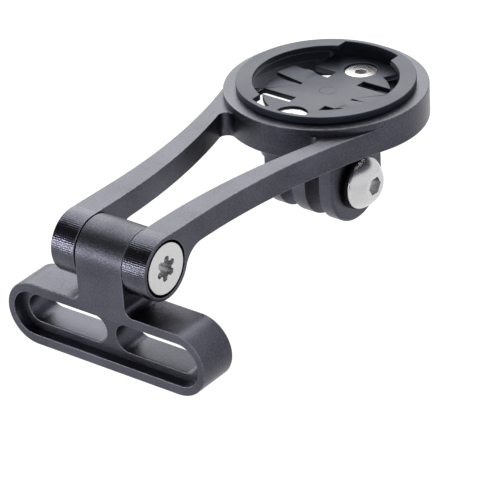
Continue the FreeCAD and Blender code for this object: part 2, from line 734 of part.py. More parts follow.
def build_finger_mount():
    """Plate with two ears under the ring and three prongs for a clamping bolt."""
    body = new_body("finger_mount")
    plate = sketch_on(body, "ear_plate", "XY")
    add_obround(plate, "0", "0", "2 * screw_offset + ear_diameter", "ear_diameter", upright=True)
    pad(body, plate, "plate_thickness", reverse=True)
    stem = sketch_on(body, "prong_stem", "YZ")
    sides = [f"prong_shift {sign} prong_diameter / 2" for sign in "-+"]
    add_rectangle(stem, *sides, "-prong_drop", "0")
    pad(body, stem, "finger_width", symmetric=True)
    tip = sketch_on(body, "prong_tip", "YZ")
    add_circle(tip, "prong_shift", "-prong_drop", "prong_diameter / 2")
    pad(body, tip, "finger_width", symmetric=True)
    side = number("finger_width") / 2

    def is_prong_side(edge):
        return (in_plane(edge, "X", side) or in_plane(edge, "X", -side)) and not runs_along(edge, Y_AXIS)

    dress(body, "Chamfer", is_prong_side, "prong_edge")

    gaps = sketch_on(body, "prong_gaps", "XZ")
    inner, outer = "prong_thickness / 2", "(prong_thickness / 2 + prong_gap)"
    low = "-prong_drop - prong_diameter"
    add_rectangle(gaps, inner, outer, low, "-plate_thickness")
    add_rectangle(gaps, f"-{outer}", f"-{inner}", low, "-plate_thickness")
    pocket(body, gaps, symmetric=True)
    bore = sketch_on(body, "finger_bore", "YZ")
    add_circle(bore, "prong_shift", "-prong_drop", "bolt_bore_radius")
    pocket(body, bore, symmetric=True)
    nut = sketch_on(body, "nut_pocket", "YZ", "-finger_width / 2")
    add_hexagon(nut, "prong_shift", "-prong_drop", "nut_across_flats + 2 * nut_clearance")
    pocket(body, nut, "nut_pocket_depth", reverse=True)
    threads = sketch_on(body, "ear_threads", "XY")
    for sign in "-+":
        add_circle(threads, "0", f"{sign}screw_offset", "m3_radius + thread_clearance")
    pocket(body, threads, "plate_thickness")
    place_on_arm(body, "ring_reach", "arm_bottom")


def place_on_fingers(body, across):
    """Seats a body that is drawn about the clamping bolt's axis."""
    place_on_arm(body, "ring_reach + prong_shift", "arm_bottom - prong_drop", across)


def build_finger_bolt():
    """Button-head socket bolt through the three prongs."""
    body = new_body("finger_bolt")
    profile = sketch_on(body, "bolt_profile", "XZ")
    add_outline(profile, [
        ("-bolt_length", "0"),
        ("bolt_head_height", "0"),
        ("bolt_head_height", "bolt_head_crown / 2"),
        ("bolt_head_rim", "bolt_head_diameter / 2"),
        ("0", "bolt_head_diameter / 2"),
        ("0", "bolt_radius"),
        ("-bolt_length", "bolt_radius"),
    ], {2: ("dome_radius", "left")})
    revolve(body, profile, "H_Axis")
    socket = sketch_on(body, "bolt_socket", "YZ", "bolt_head_height")
    add_hexagon(socket, "0", "0", "bolt_socket")
    pocket(body, socket, "bolt_socket_depth")
    place_on_fingers(body, "finger_width / 2 + bolt_washer_thickness")


def build_finger_washer():
    """Washer under the bolt's head."""
    body = new_body("finger_washer")
    ring = sketch_on(body, "bolt_washer_ring", "YZ")
    add_circle(ring, "0", "0", "bolt_washer_diameter / 2")
    add_circle(ring, "0", "0", "bolt_bore_radius")
    pad(body, ring, "bolt_washer_thickness")
    place_on_fingers(body, "finger_width / 2")


def build_finger_nut():
    """Thin hexagon nut, half sunk in the far prong."""
    body = new_body("finger_nut")
    blank = sketch_on(body, "nut_blank", "YZ")
    add_hexagon(blank, "0", "0", "nut_across_flats")
    pad(body, blank, "nut_thickness", reverse=True)
    thread = sketch_on(body, "nut_thread", "YZ")
    add_circle(thread, "0", "0", "bolt_radius + thread_clearance")
    pocket(body, thread, symmetric=True)
    place_on_fingers(body, "nut_seat")


def check_and_write():
    """Refuses a broken document, then writes one STEP file for each body."""
    document.recompute()
    for item in document.Objects:
        if any(word in state for state in item.State for word in ("Invalid", "Error")):
            raise RuntimeError(f"{item.Label} did not compute: {item.State}")
    os.makedirs("parts", exist_ok=True)
    for body in document.findObjects("PartDesign::Body"):
        shape = body.Shape
        if shape.isNull() or not shape.isValid() or len(shape.Solids) != 1:
            raise RuntimeError(f"{body.Label} is not one valid solid")
        shape.exportStep(os.path.join("parts", f"{body.Label}.step"))
        print(f"{body.Label}: {shape.Volume:.1f} mm3")


build_bracket()
build_hinge_washer()
build_arm()
build_hinge_screw()
build_insert()
build_insert_screw("insert_screw_front", "ring_reach - screw_offset")
build_insert_screw("insert_screw_rear", "ring_reach + screw_offset")
build_finger_mount()
build_finger_bolt()
build_finger_washer()
build_finger_nut()
check_and_write()
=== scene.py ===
"""Finishes, broken edges and screw threads of a hinged bike computer mount, in a pale studio."""
import json
import logging
import math
from dataclasses import dataclass, field
from enum import Enum

import bmesh
import bpy
from mathutils import Matrix, Vector

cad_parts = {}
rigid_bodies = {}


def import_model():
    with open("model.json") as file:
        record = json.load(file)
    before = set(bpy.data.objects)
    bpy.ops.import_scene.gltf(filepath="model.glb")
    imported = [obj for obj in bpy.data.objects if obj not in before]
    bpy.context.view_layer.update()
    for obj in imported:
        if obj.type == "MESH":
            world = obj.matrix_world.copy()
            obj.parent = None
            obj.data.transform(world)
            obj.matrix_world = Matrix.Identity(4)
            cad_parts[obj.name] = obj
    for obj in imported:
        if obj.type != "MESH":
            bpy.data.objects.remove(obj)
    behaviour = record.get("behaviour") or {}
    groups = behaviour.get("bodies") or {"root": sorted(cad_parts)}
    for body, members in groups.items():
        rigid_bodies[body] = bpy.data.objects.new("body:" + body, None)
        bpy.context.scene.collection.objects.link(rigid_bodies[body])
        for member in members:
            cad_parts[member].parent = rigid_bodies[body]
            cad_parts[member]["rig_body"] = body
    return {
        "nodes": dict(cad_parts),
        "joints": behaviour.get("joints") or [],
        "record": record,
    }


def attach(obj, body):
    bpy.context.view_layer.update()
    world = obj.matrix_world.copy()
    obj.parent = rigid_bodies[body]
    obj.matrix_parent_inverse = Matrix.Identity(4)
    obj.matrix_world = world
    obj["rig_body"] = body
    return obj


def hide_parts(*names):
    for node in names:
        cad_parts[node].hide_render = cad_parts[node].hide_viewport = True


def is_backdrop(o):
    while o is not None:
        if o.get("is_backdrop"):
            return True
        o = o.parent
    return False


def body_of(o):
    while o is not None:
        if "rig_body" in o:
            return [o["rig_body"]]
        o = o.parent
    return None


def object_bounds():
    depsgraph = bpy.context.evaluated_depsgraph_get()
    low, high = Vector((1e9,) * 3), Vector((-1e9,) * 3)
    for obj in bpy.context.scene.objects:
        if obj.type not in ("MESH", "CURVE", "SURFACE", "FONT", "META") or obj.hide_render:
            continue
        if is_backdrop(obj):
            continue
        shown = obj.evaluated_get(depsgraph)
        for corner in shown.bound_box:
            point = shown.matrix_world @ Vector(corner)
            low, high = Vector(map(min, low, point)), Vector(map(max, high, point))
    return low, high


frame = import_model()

MM = 0.001
UP = Vector((0, 0, 1))
WHITE = (1, 1, 1, 1)
LOG = logging.getLogger("computer_mount")

# The wide clouds of a finish, in millimetres, and the range in which the sum of two noises lies
CLOUD = 9.0
NOISE_SPAN = {"From Min": 0.7, "From Max": 1.3}

# Corners of a CAD mesh this close are one, and faces that meet flatter than this are joined
MERGE_DISTANCE = 0.002 * MM
FLAT_ANGLE = math.radians(0.06)
# Edges sharper than this are corners, and not facets of a round
CORNER_ANGLE = math.radians(28)
# Cosine between the normals of faces that continue one another
SAME_PLANE = 0.99995
# Room that a broken edge needs beside it, in its own widths, so that two fit on a narrow patch
ROOM_PER_EDGE = 2.4
# A corner with less weight than this stays sharp in the shading too
LEAST_WEIGHT = 0.1


@dataclass(frozen=True)
class Grain:
    """The fine relief of a surface, in millimetres, and how uneven its tone and gloss are."""

    cell: float
    relief: float
    tone_spread: float
    roughness_spread: float = 0.06


class Surface(Enum):
    """How a surface was made, with the grain that this leaves.

    Real grain is 0.05 to 0.1 mm wide, too fine to show, so all of it is drawn a few times as
    coarse.
    """

    BLASTED = Grain(cell=0.32, relief=0.04, tone_spread=0.36)
    RUBBED = Grain(cell=0.5, relief=0.05, tone_spread=0.45)
    MOULDED = Grain(cell=0.22, relief=0.005, tone_spread=0.05)
    TUMBLED = Grain(cell=0.25, relief=0.0004, tone_spread=0.03, roughness_spread=0.04)
    BLACKENED = Grain(cell=0.3, relief=0.002, tone_spread=0.08)


class Axis(Enum):
    """An axis of the arm's own frame, as the number of its coordinate."""

    ALONG_HINGE = 0
    UPRIGHT = 2

    @property
    def direction(self) -> Vector:
        """Gives the axis as a unit vector."""
        return Vector([float(i == self.value) for i in range(3)])


class Metric(Enum):
    """A coarse metric thread: its diameter and its pitch in millimetres."""

    M3 = (3.0, 0.5)
    M5 = (5.0, 0.8)


def linear(code: str) -> tuple[float, float, float, float]:
    """Turns an sRGB colour into the linear one that shaders take.

    Args:
        code: The colour as six hexadecimal digits after a hash.

    Returns:
        Red, green, blue and an alpha of one.
    """
    parts = [int(code[i:i + 2], 16) / 255 for i in (1, 3, 5)]
    red, green, blue = (c / 12.92 if c <= 0.04045 else ((c + 0.055) / 1.055) ** 2.4
                        for c in parts)
    return red, green, blue, 1.0


def add_node(tree: bpy.types.NodeTree, kind: str, inputs: dict | None = None,
             **settings) -> bpy.types.Node:
    """Adds one shader node.

    Args:
        tree: The node tree that gets it.
        kind: The node's type name.
        inputs: For an input's name or number, a value for it or the output that feeds it.
        **settings: The node's own options.

    Returns:
        The new node.
    """
    node = tree.nodes.new(kind)
    for name, value in settings.items():
        setattr(node, name, value)
    for key, value in (inputs or {}).items():
        if isinstance(value, bpy.types.NodeSocket):
            tree.links.new(value, node.inputs[key])
        else:
            node.inputs[key].default_value = value
    return node


@dataclass(frozen=True)
class ArmFrame:
    """The arm's own frame: the hinge's axis along X, the arm's flat top facing up Z."""

    matrix: Matrix
    seat: Vector

    @classmethod
    def from_record(cls, record: dict) -> "ArmFrame":
        """Reads the hinge and the computer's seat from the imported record.

        Args:
            record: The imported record.

        Returns:
            The frame, with the middle of the seat's upper rim in it.
        """
        hinge = Vector(frame["joints"][0]["pos_m"])
        mount = next(item for item in record["mounts"] if item["name"] == "computer_seat")
        across, up = Vector((1, 0, 0)), Vector(mount["axis"]).normalized()
        along = up.cross(across).normalized()
        turn = Matrix((across, along, up)).transposed().to_4x4()
        matrix = Matrix.Translation(hinge) @ turn
        return cls(matrix, matrix.inverted() @ Vector(mount["pos_m"]))

    def box(self, node: str) -> tuple[Vector, Vector]:
        """Measures a CAD node in this frame.

        Args:
            node: The node's name.

        Returns:
            Its lowest and highest corners.
        """
        back = self.matrix.inverted()
        points = [back @ vert.co for vert in frame["nodes"][node].data.vertices]
        low, high = (Vector(edge(point[i] for point in points) for i in range(3))
                     for edge in (min, max))
        return low, high


@dataclass(frozen=True)
class Finish:
    """A material of one colour and one kind of surface."""

    name: str
    surface: Surface
    colour: str
    metallic: float
    roughness: float
    specular_tint: str = "#ffffff"

    def build(self) -> bpy.types.Material:
        """Makes the material: cloudy tone, uneven roughness and a fine relief."""
        material = bpy.data.materials.new(self.name)
        material.use_nodes = True
        tree = material.node_tree
        shader = tree.nodes["Principled BSDF"]
        shader.inputs["Metallic"].default_value = self.metallic
        shader.inputs["Specular Tint"].default_value = linear(self.specular_tint)
        place = add_node(tree, "ShaderNodeTexCoord").outputs["Object"]
        grain = add_node(tree, "ShaderNodeTexNoise", {
            "Vector": place, "Scale": 1 / (self.surface.value.cell * MM),
            "Detail": 2.0, "Roughness": 0.6}).outputs["Fac"]
        cloud = add_node(tree, "ShaderNodeTexNoise", {
            "Vector": place, "Scale": 1 / (CLOUD * MM), "Detail": 3.0}).outputs["Fac"]
        self.dress_tone(tree, shader, grain, cloud)
        self.dress_relief(tree, shader, place, grain)
        return material

    def dress_tone(self, tree: bpy.types.NodeTree, shader: bpy.types.Node,
                   grain: bpy.types.NodeSocket, cloud: bpy.types.NodeSocket) -> None:
        """Varies the colour and the roughness a little with the grain and in wide clouds.

        Args:
            tree: The material's node tree.
            shader: Its principled shader.
            grain: The fine noise.
            cloud: The wide noise.
        """
        tone_spread = self.surface.value.tone_spread
        roughness_spread = self.surface.value.roughness_spread
        both = add_node(tree, "ShaderNodeMath", {0: grain, 1: cloud}, operation="ADD").outputs[0]
        share = add_node(tree, "ShaderNodeMapRange", {
            "Value": both, **NOISE_SPAN, "To Min": 1 - tone_spread, "To Max": 1 + tone_spread})
        tone = add_node(tree, "ShaderNodeVectorMath", {
            0: linear(self.colour)[:3], "Scale": share.outputs["Result"]}, operation="SCALE")
        tree.links.new(tone.outputs["Vector"], shader.inputs["Base Color"])
        rough = add_node(tree, "ShaderNodeMapRange", {
            "Value": both, **NOISE_SPAN, "To Min": self.roughness - roughness_spread,
            "To Max": self.roughness + roughness_spread})
        tree.links.new(rough.outputs["Result"], shader.inputs["Roughness"])

    def dress_relief(self, tree: bpy.types.NodeTree, shader: bpy.types.Node,
                     place: bpy.types.NodeSocket, grain: bpy.types.NodeSocket) -> bpy.types.Node:
        """Adds the fine relief.

        Args:
            tree: The material's node tree.
            shader: Its principled shader.
            place: The point in the part's frame; not used here, only by the finishes that add
                marks of their own.
            grain: The fine noise.

        Returns:
            The bump node, for a finish that adds marks of its own.
        """
        bump = add_node(tree, "ShaderNodeBump", {
            "Height": grain, "Strength": 1.0, "Distance": self.surface.value.relief * MM})
        tree.links.new(bump.outputs["Normal"], shader.inputs["Normal"])
        return bump


@dataclass(frozen=True)
class MilledHingeFinish(Finish):
    """Anodised aluminium whose knuckles keep the cutter's fine lines, parallel to the hinge.

    The hinge and the knuckles' radius are in metres, and the lines' depth and the band on both
    sides of the radius that has them are in millimetres. The lines are 0.37 mm apart, about
    twice as far as a cutter leaves them, so that they show.
    """

    hinge: tuple[float, float, float] = (0, 0, 0)
    knuckle_radius: float = 0.0
    knuckle_roughness: float = 0.3
    lines: int = 96
    line_depth: float = 0.011
    band: float = 0.12

    def dress_relief(self, tree: bpy.types.NodeTree, shader: bpy.types.Node,
                     place: bpy.types.NodeSocket, grain: bpy.types.NodeSocket) -> bpy.types.Node:
        """Adds the cutter's lines to the grain, on the round of the knuckles only.

        Args:
            tree: The material's node tree.
            shader: Its principled shader.
            place: The point in the part's frame.
            grain: The fine noise.

        Returns:
            The bump node of the lines.
        """
        bump = super().dress_relief(tree, shader, place, grain)
        local = add_node(tree, "ShaderNodeVectorMath", {0: place, 1: self.hinge},
                         operation="SUBTRACT")
        parts = add_node(tree, "ShaderNodeSeparateXYZ", {0: local.outputs[0]}).outputs
        angle = add_node(tree, "ShaderNodeMath", {0: parts["Z"], 1: parts["Y"]},
                         operation="ARCTAN2")
        turns = add_node(tree, "ShaderNodeMath", {0: angle.outputs[0], 1: self.lines},
                         operation="MULTIPLY")
        wave = add_node(tree, "ShaderNodeMath", {0: turns.outputs[0]}, operation="SINE")
        flat = add_node(tree, "ShaderNodeCombineXYZ", {"Y": parts["Y"], "Z": parts["Z"]})
        reach = add_node(tree, "ShaderNodeVectorMath", {0: flat.outputs[0]}, operation="LENGTH")
        near = add_node(tree, "ShaderNodeMath", {
            0: reach.outputs["Value"], 1: self.knuckle_radius, 2: self.band * MM},
            operation="COMPARE")
        rough = shader.inputs["Roughness"].links[0].from_socket
        mixed = add_node(tree, "ShaderNodeMix", {
            0: near.outputs[0], 2: rough, 3: self.knuckle_roughness})
        tree.links.new(mixed.outputs[0], shader.inputs["Roughness"])
        height = add_node(tree, "ShaderNodeMath", {0: wave.outputs[0], 1: near.outputs[0]},
                          operation="MULTIPLY")
        lines = add_node(tree, "ShaderNodeBump", {
            "Height": height.outputs[0], "Normal": bump.outputs["Normal"],
            "Strength": 1.0, "Distance": self.line_depth * MM / 2})
        tree.links.new(lines.outputs["Normal"], shader.inputs["Normal"])
        return lines


@dataclass(frozen=True)
class MouldedSeatFinish(Finish):
    """Moulded nylon with the plain round witness mark of an ejector pin in its floor.

    The mark's middle is in metres and its other sizes are in millimetres.
    """

    middle: tuple[float, float, float] = (0, 0, 0)
    pin_radius: float = 1.4
    pin_line: float = 0.16
    pin_depth: float = 0.05

    def dress_relief(self, tree: bpy.types.NodeTree, shader: bpy.types.Node,
                     place: bpy.types.NodeSocket, grain: bpy.types.NodeSocket) -> bpy.types.Node:
        """Adds the pin's mark to the grain.

        Args:
            tree: The material's node tree.
            shader: Its principled shader.
            place: The point in the part's frame.
            grain: The fine noise.

        Returns:
            The bump node of the mark.
        """
        bump = super().dress_relief(tree, shader, place, grain)
        reach = add_node(tree, "ShaderNodeVectorMath", {0: place, 1: self.middle},
                         operation="DISTANCE")
        mark = add_node(tree, "ShaderNodeMapRange", {
            "Value": reach.outputs["Value"], "From Min": self.pin_radius * MM,
            "From Max": (self.pin_radius + self.pin_line) * MM, "To Min": 0.0, "To Max": 1.0},
            interpolation_type="SMOOTHSTEP")
        pin = add_node(tree, "ShaderNodeBump", {
            "Height": mark.outputs["Result"], "Normal": bump.outputs["Normal"],
            "Strength": 1.0, "Distance": self.pin_depth * MM})
        tree.links.new(pin.outputs["Normal"], shader.inputs["Normal"])
        return pin


def wear(piece: bpy.types.Object, material: bpy.types.Material,
         edges: bpy.types.Material | None = None) -> None:
    """Gives a piece its material.

    Args:
        piece: The piece.
        material: The finish of all its faces.
        edges: The finish of its broken edges, if that is another one.
    """
    if not piece.material_slots:
        piece.data.materials.append(material)
    for item in piece.material_slots:
        item.material = material
    if edges:
        piece.data.materials.append(edges)
        piece.modifiers["broken_edges"].material = len(piece.material_slots) - 1


def merged_copy(node: str) -> bmesh.types.BMesh:
    """Copies a CAD node's mesh with its doubles merged and its flat faces joined.

    Args:
        node: The CAD node's name.

    Returns:
        The copy, which the caller frees.
    """
    shape = bmesh.new()
    shape.from_mesh(frame["nodes"][node].data)
    bmesh.ops.remove_doubles(shape, verts=shape.verts, dist=MERGE_DISTANCE)
    bmesh.ops.dissolve_limit(shape, angle_limit=FLAT_ANGLE, verts=shape.verts, edges=shape.edges)
    return shape


def patch_border(start: bmesh.types.BMFace) -> list[bmesh.types.BMLoop]:
    """Follows the outline of a face together with the faces that continue it in its plane.

    Args:
        start: The face.

    Returns:
        The loops round the whole flat patch.
    """
    patch, queue = {start}, [start]
    while queue:
        for item in queue.pop().edges:
            for face in item.link_faces:
                if face not in patch and face.normal.dot(start.normal) > SAME_PLANE:
                    patch.add(face)
                    queue.append(face)
    return [loop for face in patch for loop in face.loops
            if not any(other in patch for other in loop.edge.link_faces if other is not face)]


def room_beside(loop: bmesh.types.BMLoop, border: list[bmesh.types.BMLoop]) -> float:
    """Measures how wide a flat patch is beside the middle of one of its edges.

    Args:
        loop: The edge's loop in that patch.
        border: The loops round the patch.

    Returns:
        The distance across the patch to its next edge, in metres.
    """
    start, end = loop.vert.co, loop.link_loop_next.vert.co
    middle = (start + end) / 2
    along = (end - start).normalized()
    inward = loop.face.normal.cross(along)
    room = math.inf
    for other in border:
        if other.edge is loop.edge:
            continue
        near, far = other.vert.co - middle, other.link_loop_next.vert.co - middle
        side_near, side_far = near.dot(along), far.dot(along)
        if (side_near > 0) == (side_far > 0):
            continue
        share = side_near / (side_near - side_far)
        depth = near.dot(inward) * (1 - share) + far.dot(inward) * share
        if depth > 0:
            room = min(room, depth)
    return room


def weigh_edges(shape: bmesh.types.BMesh, edge: float) -> None:
    """Marks the outward corners to be broken and the inward ones to stay sharp.

    A corner is broken less where a patch beside it is too narrow.

    Args:
        shape: The piece's shape.
        edge: The width of the broken edges in metres.
    """
    shape.normal_update()
    borders = {face: patch_border(face) for face in shape.faces}
    weight = shape.edges.layers.float.new("bevel_weight_edge")
    for item in shape.edges:
        if item.calc_face_angle(0.0) < CORNER_ANGLE:
            continue
        if item.is_convex:
            room = min(room_beside(loop, borders[loop.face]) for loop in item.link_loops)
            item[weight] = min(1.0, room / (ROOM_PER_EDGE * edge))
        item.smooth = item[weight] > LEAST_WEIGHT


def finish_piece(shape: bmesh.types.BMesh, name: str, node: str, edge: float) -> bpy.types.Object:
    """Makes a piece of a copied shape, with its sharp edges broken, in place of its CAD node.

    Args:
        shape: The shape, which is freed.
        name: The piece's name.
        node: The CAD node that it stands for.
        edge: The width of the broken edges in millimetres.

    Returns:
        The piece, riding on the node's body.
    """
    for face in shape.faces:
        face.smooth = True
    weigh_edges(shape, edge * MM)
    mesh = bpy.data.meshes.new(name)
    shape.to_mesh(mesh)
    shape.free()
    piece = bpy.data.objects.new(name, mesh)
    bpy.context.scene.collection.objects.link(piece)
    bevel = piece.modifiers.new("broken_edges", "BEVEL")
    bevel.width = edge * MM
    bevel.segments = 2
    bevel.limit_method = "WEIGHT"
    bevel.use_clamp_overlap = False
    bevel.loop_slide = False
    bevel.miter_outer = "MITER_ARC"
    # The flat faces then shade flat, and the broken edges carry the whole turn between them
    even = piece.modifiers.new("even_shading", "WEIGHTED_NORMAL")
    even.keep_sharp = True
    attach(piece, body_of(frame["nodes"][node])[0])
    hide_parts(node)
    return piece


@dataclass(frozen=True)
class Thread:
    """A screw thread cut on a round shank.

    Sizes are in metres, and the axis runs up Z from the shank's tip before it is placed.
    """

    radius: float
    pitch: float
    length: float
    steps_per_turn: int = 28

    # Of the metric profile, as shares of the pitch. The ridge is sunk a little into the core.
    DEPTH = 0.61
    ROOT_HALF = 0.46
    CREST_HALF = 0.07
    SUNK = 0.05

    @property
    def core(self) -> float:
        """Gives the radius at the root of the thread."""
        return self.radius - self.DEPTH * self.pitch

    def add_ridge(self, shape: bmesh.types.BMesh, place: Matrix) -> None:
        """Winds one ridge about the axis by spinning its section along the pitch.

        Args:
            shape: The mesh that gets the ridge.
            place: Takes the thread's axis to its place on the piece.
        """
        turns = self.length / self.pitch - 1
        root, crest = self.ROOT_HALF * self.pitch, self.CREST_HALF * self.pitch
        foot = self.core - self.SUNK * self.pitch
        section = [(foot, -root), (self.radius, -crest), (self.radius, crest), (foot, root)]
        verts = [shape.verts.new((r, 0, self.pitch / 2 + z)) for r, z in section]
        edges = [shape.edges.new((a, b)) for a, b in zip(verts, verts[1:] + verts[:1])]
        steps = round(turns * self.steps_per_turn)
        before = set(shape.faces)
        wound = bmesh.ops.spin(shape, geom=verts + edges, cent=(0, 0, 0), axis=UP,
                               dvec=(0, 0, turns * self.pitch / steps), angle=math.tau * turns,
                               steps=steps, use_merge=False)
        last = [item for item in wound["geom_last"] if isinstance(item, bmesh.types.BMVert)]
        shape.faces.new(verts)
        shape.faces.new(last)
        ridge = [face for face in shape.faces if face not in before]
        bmesh.ops.recalc_face_normals(shape, faces=ridge)
        moved = {vert for face in ridge for vert in face.verts}
        bmesh.ops.transform(shape, matrix=place, verts=list(moved))


@dataclass
class ThreadedScrew:
    """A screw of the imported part, with a cut thread in place of its plain shank.

    The length of the thread and the width of the broken edges are in millimetres.
    """

    node: str
    name: str
    axis: Axis
    size: Metric
    threaded: float
    arm: ArmFrame
    edge: float = 0.08

    def build(self, material: bpy.types.Material) -> bpy.types.Object:
        """Cuts the shank down to its core and winds the thread on it.

        Args:
            material: The screw's finish.

        Returns:
            The finished screw.
        """
        low, high = self.arm.box(self.node)
        tip = (low + high) / 2
        tip[self.axis.value] = low[self.axis.value]
        turn = UP.rotation_difference(self.axis.direction).to_matrix().to_4x4()
        place = self.arm.matrix @ Matrix.Translation(tip) @ turn
        diameter, pitch = self.size.value
        thread = Thread(diameter / 2 * MM, pitch * MM, self.threaded * MM)
        shape = merged_copy(self.node)
        self.cut_core(shape, place, thread)
        thread.add_ridge(shape, place)
        piece = finish_piece(shape, self.name, self.node, self.edge)
        wear(piece, material)
        return piece

    def cut_core(self, shape: bmesh.types.BMesh, place: Matrix, thread: Thread) -> None:
        """Splits the shank where the thread ends and shrinks the threaded stretch to its core.

        Args:
            shape: The screw's merged copy.
            place: Takes the thread's axis to its place on the screw.
            thread: The thread to be cut.
        """
        back = place.inverted()
        # Two cuts this far apart leave a flat step between the core and the plain shank, and a
        # corner much nearer to a cut than that lies on it
        step = 0.02 * MM
        snap = step / 50
        for height in (thread.length, thread.length + step):
            bmesh.ops.bisect_plane(shape, geom=[*shape.verts, *shape.edges, *shape.faces],
                                   dist=snap, plane_co=place @ Vector((0, 0, height)),
                                   plane_no=place.to_3x3() @ UP)
        # Only the shank's own surface shrinks, not a recess inside it or the head round it
        inside, outside = 0.2 * thread.radius, thread.radius + step
        shank = []
        for vert in shape.verts:
            local = back @ vert.co
            if local.z < thread.length + step / 2 and inside < local.to_2d().length < outside:
                shank.append(vert)
        share = thread.core / thread.radius
        bmesh.ops.scale(shape, vec=(share, share, 1), verts=shank, space=back)


@dataclass
class HandlebarBlock:
    """The slotted block that is screwed to the handlebar's clamp, with the middle knuckle.

    The width of its broken edges is in millimetres.
    """

    edge: float = 0.18

    def build(self, material: bpy.types.Material,
              worn_and_highlit: bpy.types.Material) -> list[bpy.types.Object]:
        """Makes the block with its edges broken.

        Args:
            material: The block's finish.
            worn_and_highlit: The finish of its edges, lighter for wear and as a painted
                highlight.

        Returns:
            The block.
        """
        block = finish_piece(merged_copy("handlebar_bracket"), "handlebar_block",
                             "handlebar_bracket", self.edge)
        wear(block, material, worn_and_highlit)
        return [block]


@dataclass
class Hinge:
    """The pivot screw and the thin washer beside the middle knuckle.

    The length of the screw's thread is in millimetres.
    """

    arm: ArmFrame
    size: Metric = Metric.M5
    threaded: float = 5.2

    def build(self, steel: bpy.types.Material,
              black: bpy.types.Material) -> list[bpy.types.Object]:
        """Threads the pivot's tip and blackens the washer.

        Args:
            steel: The screw's finish.
            black: The washer's finish.

        Returns:
            The screw and the washer.
        """
        pivot = ThreadedScrew("hinge_screw", "pivot_screw", Axis.ALONG_HINGE, self.size,
                              self.threaded, self.arm)
        washer = frame["nodes"]["hinge_washer"]
        wear(washer, black)
        return [pivot.build(steel), washer]


@dataclass
class RingArm:
    """The fork, the flared arms and the ring.

    The width of their broken edges is in millimetres.
    """

    edge: float = 0.18

    def build(self, material: bpy.types.Material,
              worn_and_highlit: bpy.types.Material) -> list[bpy.types.Object]:
        """Makes the arm with its edges broken.

        Args:
            material: The arm's finish.
            worn_and_highlit: The finish of its edges, lighter for wear and as a painted
                highlight.

        Returns:
            The arm.
        """
        arm = finish_piece(merged_copy("ring_arm"), "flared_arm", "ring_arm", self.edge)
        wear(arm, material, worn_and_highlit)
        return [arm]


@dataclass
class QuarterTurnSeat:
    """The moulded insert and the two screws that hold it.

    Sizes are in millimetres. The depth is from the lips' top down to the floor, and the pin
    is the tool's ejector pin, a little nearer the ring's far side than the seat's middle.
    """

    arm: ArmFrame
    depth: float = 2.8
    pin_shift: float = 0.4
    edge: float = 0.14
    size: Metric = Metric.M3
    threaded: float = 3.6
    screw_edge: float = 0.06

    def pin_place(self) -> tuple[float, float, float]:
        """Gives the middle of the ejector pin's mark on the floor, in metres."""
        seat = self.arm.seat
        middle = Vector((0, seat.y + self.pin_shift * MM, seat.z - self.depth * MM))
        return tuple(self.arm.matrix @ middle)

    def build(self, nylon: bpy.types.Material,
              steel: bpy.types.Material) -> list[bpy.types.Object]:
        """Makes the insert with rounded edges and threads its screws.

        Args:
            nylon: The insert's finish.
            steel: The screws' finish.

        Returns:
            The insert and its screws.
        """
        seat = finish_piece(merged_copy("quarter_turn_insert"), "computer_seat",
                            "quarter_turn_insert", self.edge)
        wear(seat, nylon)
        screws = [ThreadedScrew(f"insert_screw_{side}", f"seat_screw_{side}", Axis.UPRIGHT,
                                self.size, self.threaded, self.arm, self.screw_edge)
                  for side in ("front", "rear")]
        return [seat, *(screw.build(steel) for screw in screws)]


@dataclass
class FingerClamp:
    """The three-pronged mount under the ring with its bolt, washer and nut.

    The widths of the broken edges and the length of the bolt's thread are in millimetres.
    """

    arm: ArmFrame
    edge: float = 0.12
    nut_edge: float = 0.1
    size: Metric = Metric.M5
    threaded: float = 16.5

    def build(self, aluminium: bpy.types.Material, steel: bpy.types.Material,
              black: bpy.types.Material) -> list[bpy.types.Object]:
        """Makes the prongs with broken edges, threads the bolt and dresses the rest.

        Args:
            aluminium: The prongs' finish.
            steel: The bolt's and the nut's finish.
            black: The washer's finish.

        Returns:
            The prongs, the bolt, the nut and the washer.
        """
        prongs = finish_piece(merged_copy("finger_mount"), "clamp_prongs", "finger_mount",
                              self.edge)
        wear(prongs, aluminium)
        bolt = ThreadedScrew("finger_bolt", "clamp_bolt", Axis.ALONG_HINGE, self.size,
                             self.threaded, self.arm)
        nut = finish_piece(merged_copy("finger_nut"), "clamp_nut", "finger_nut", self.nut_edge)
        wear(nut, steel)
        washer = finish_piece(merged_copy("finger_washer"), "clamp_washer", "finger_washer",
                              self.edge)
        wear(washer, black)
        return [prongs, bolt.build(steel), nut, washer]


@dataclass
class Lamp:
    """A soft rectangular lamp that faces the part, with its sizes in metres."""

    name: str
    towards: tuple[float, float, float]
    distance: float
    width: float
    height: float
    radiance: float
    colour: str = "#ffffff"

    def build(self, target: Vector) -> None:
        """Makes the lamp.

        Args:
            target: The point that it faces.
        """
        data = bpy.data.lights.new(self.name, "AREA")
        data.shape = "RECTANGLE"
        data.size = self.width
        data.size_y = self.height
        data.energy = self.radiance * math.pi * self.width * self.height
        data.color = linear(self.colour)[:3]
        lamp = bpy.data.objects.new(self.name, data)
        bpy.context.scene.collection.objects.link(lamp)
        direction = Vector(self.towards).normalized()
        lamp.location = target + direction * self.distance
        lamp.rotation_euler = direction.to_track_quat("Z", "Y").to_euler()


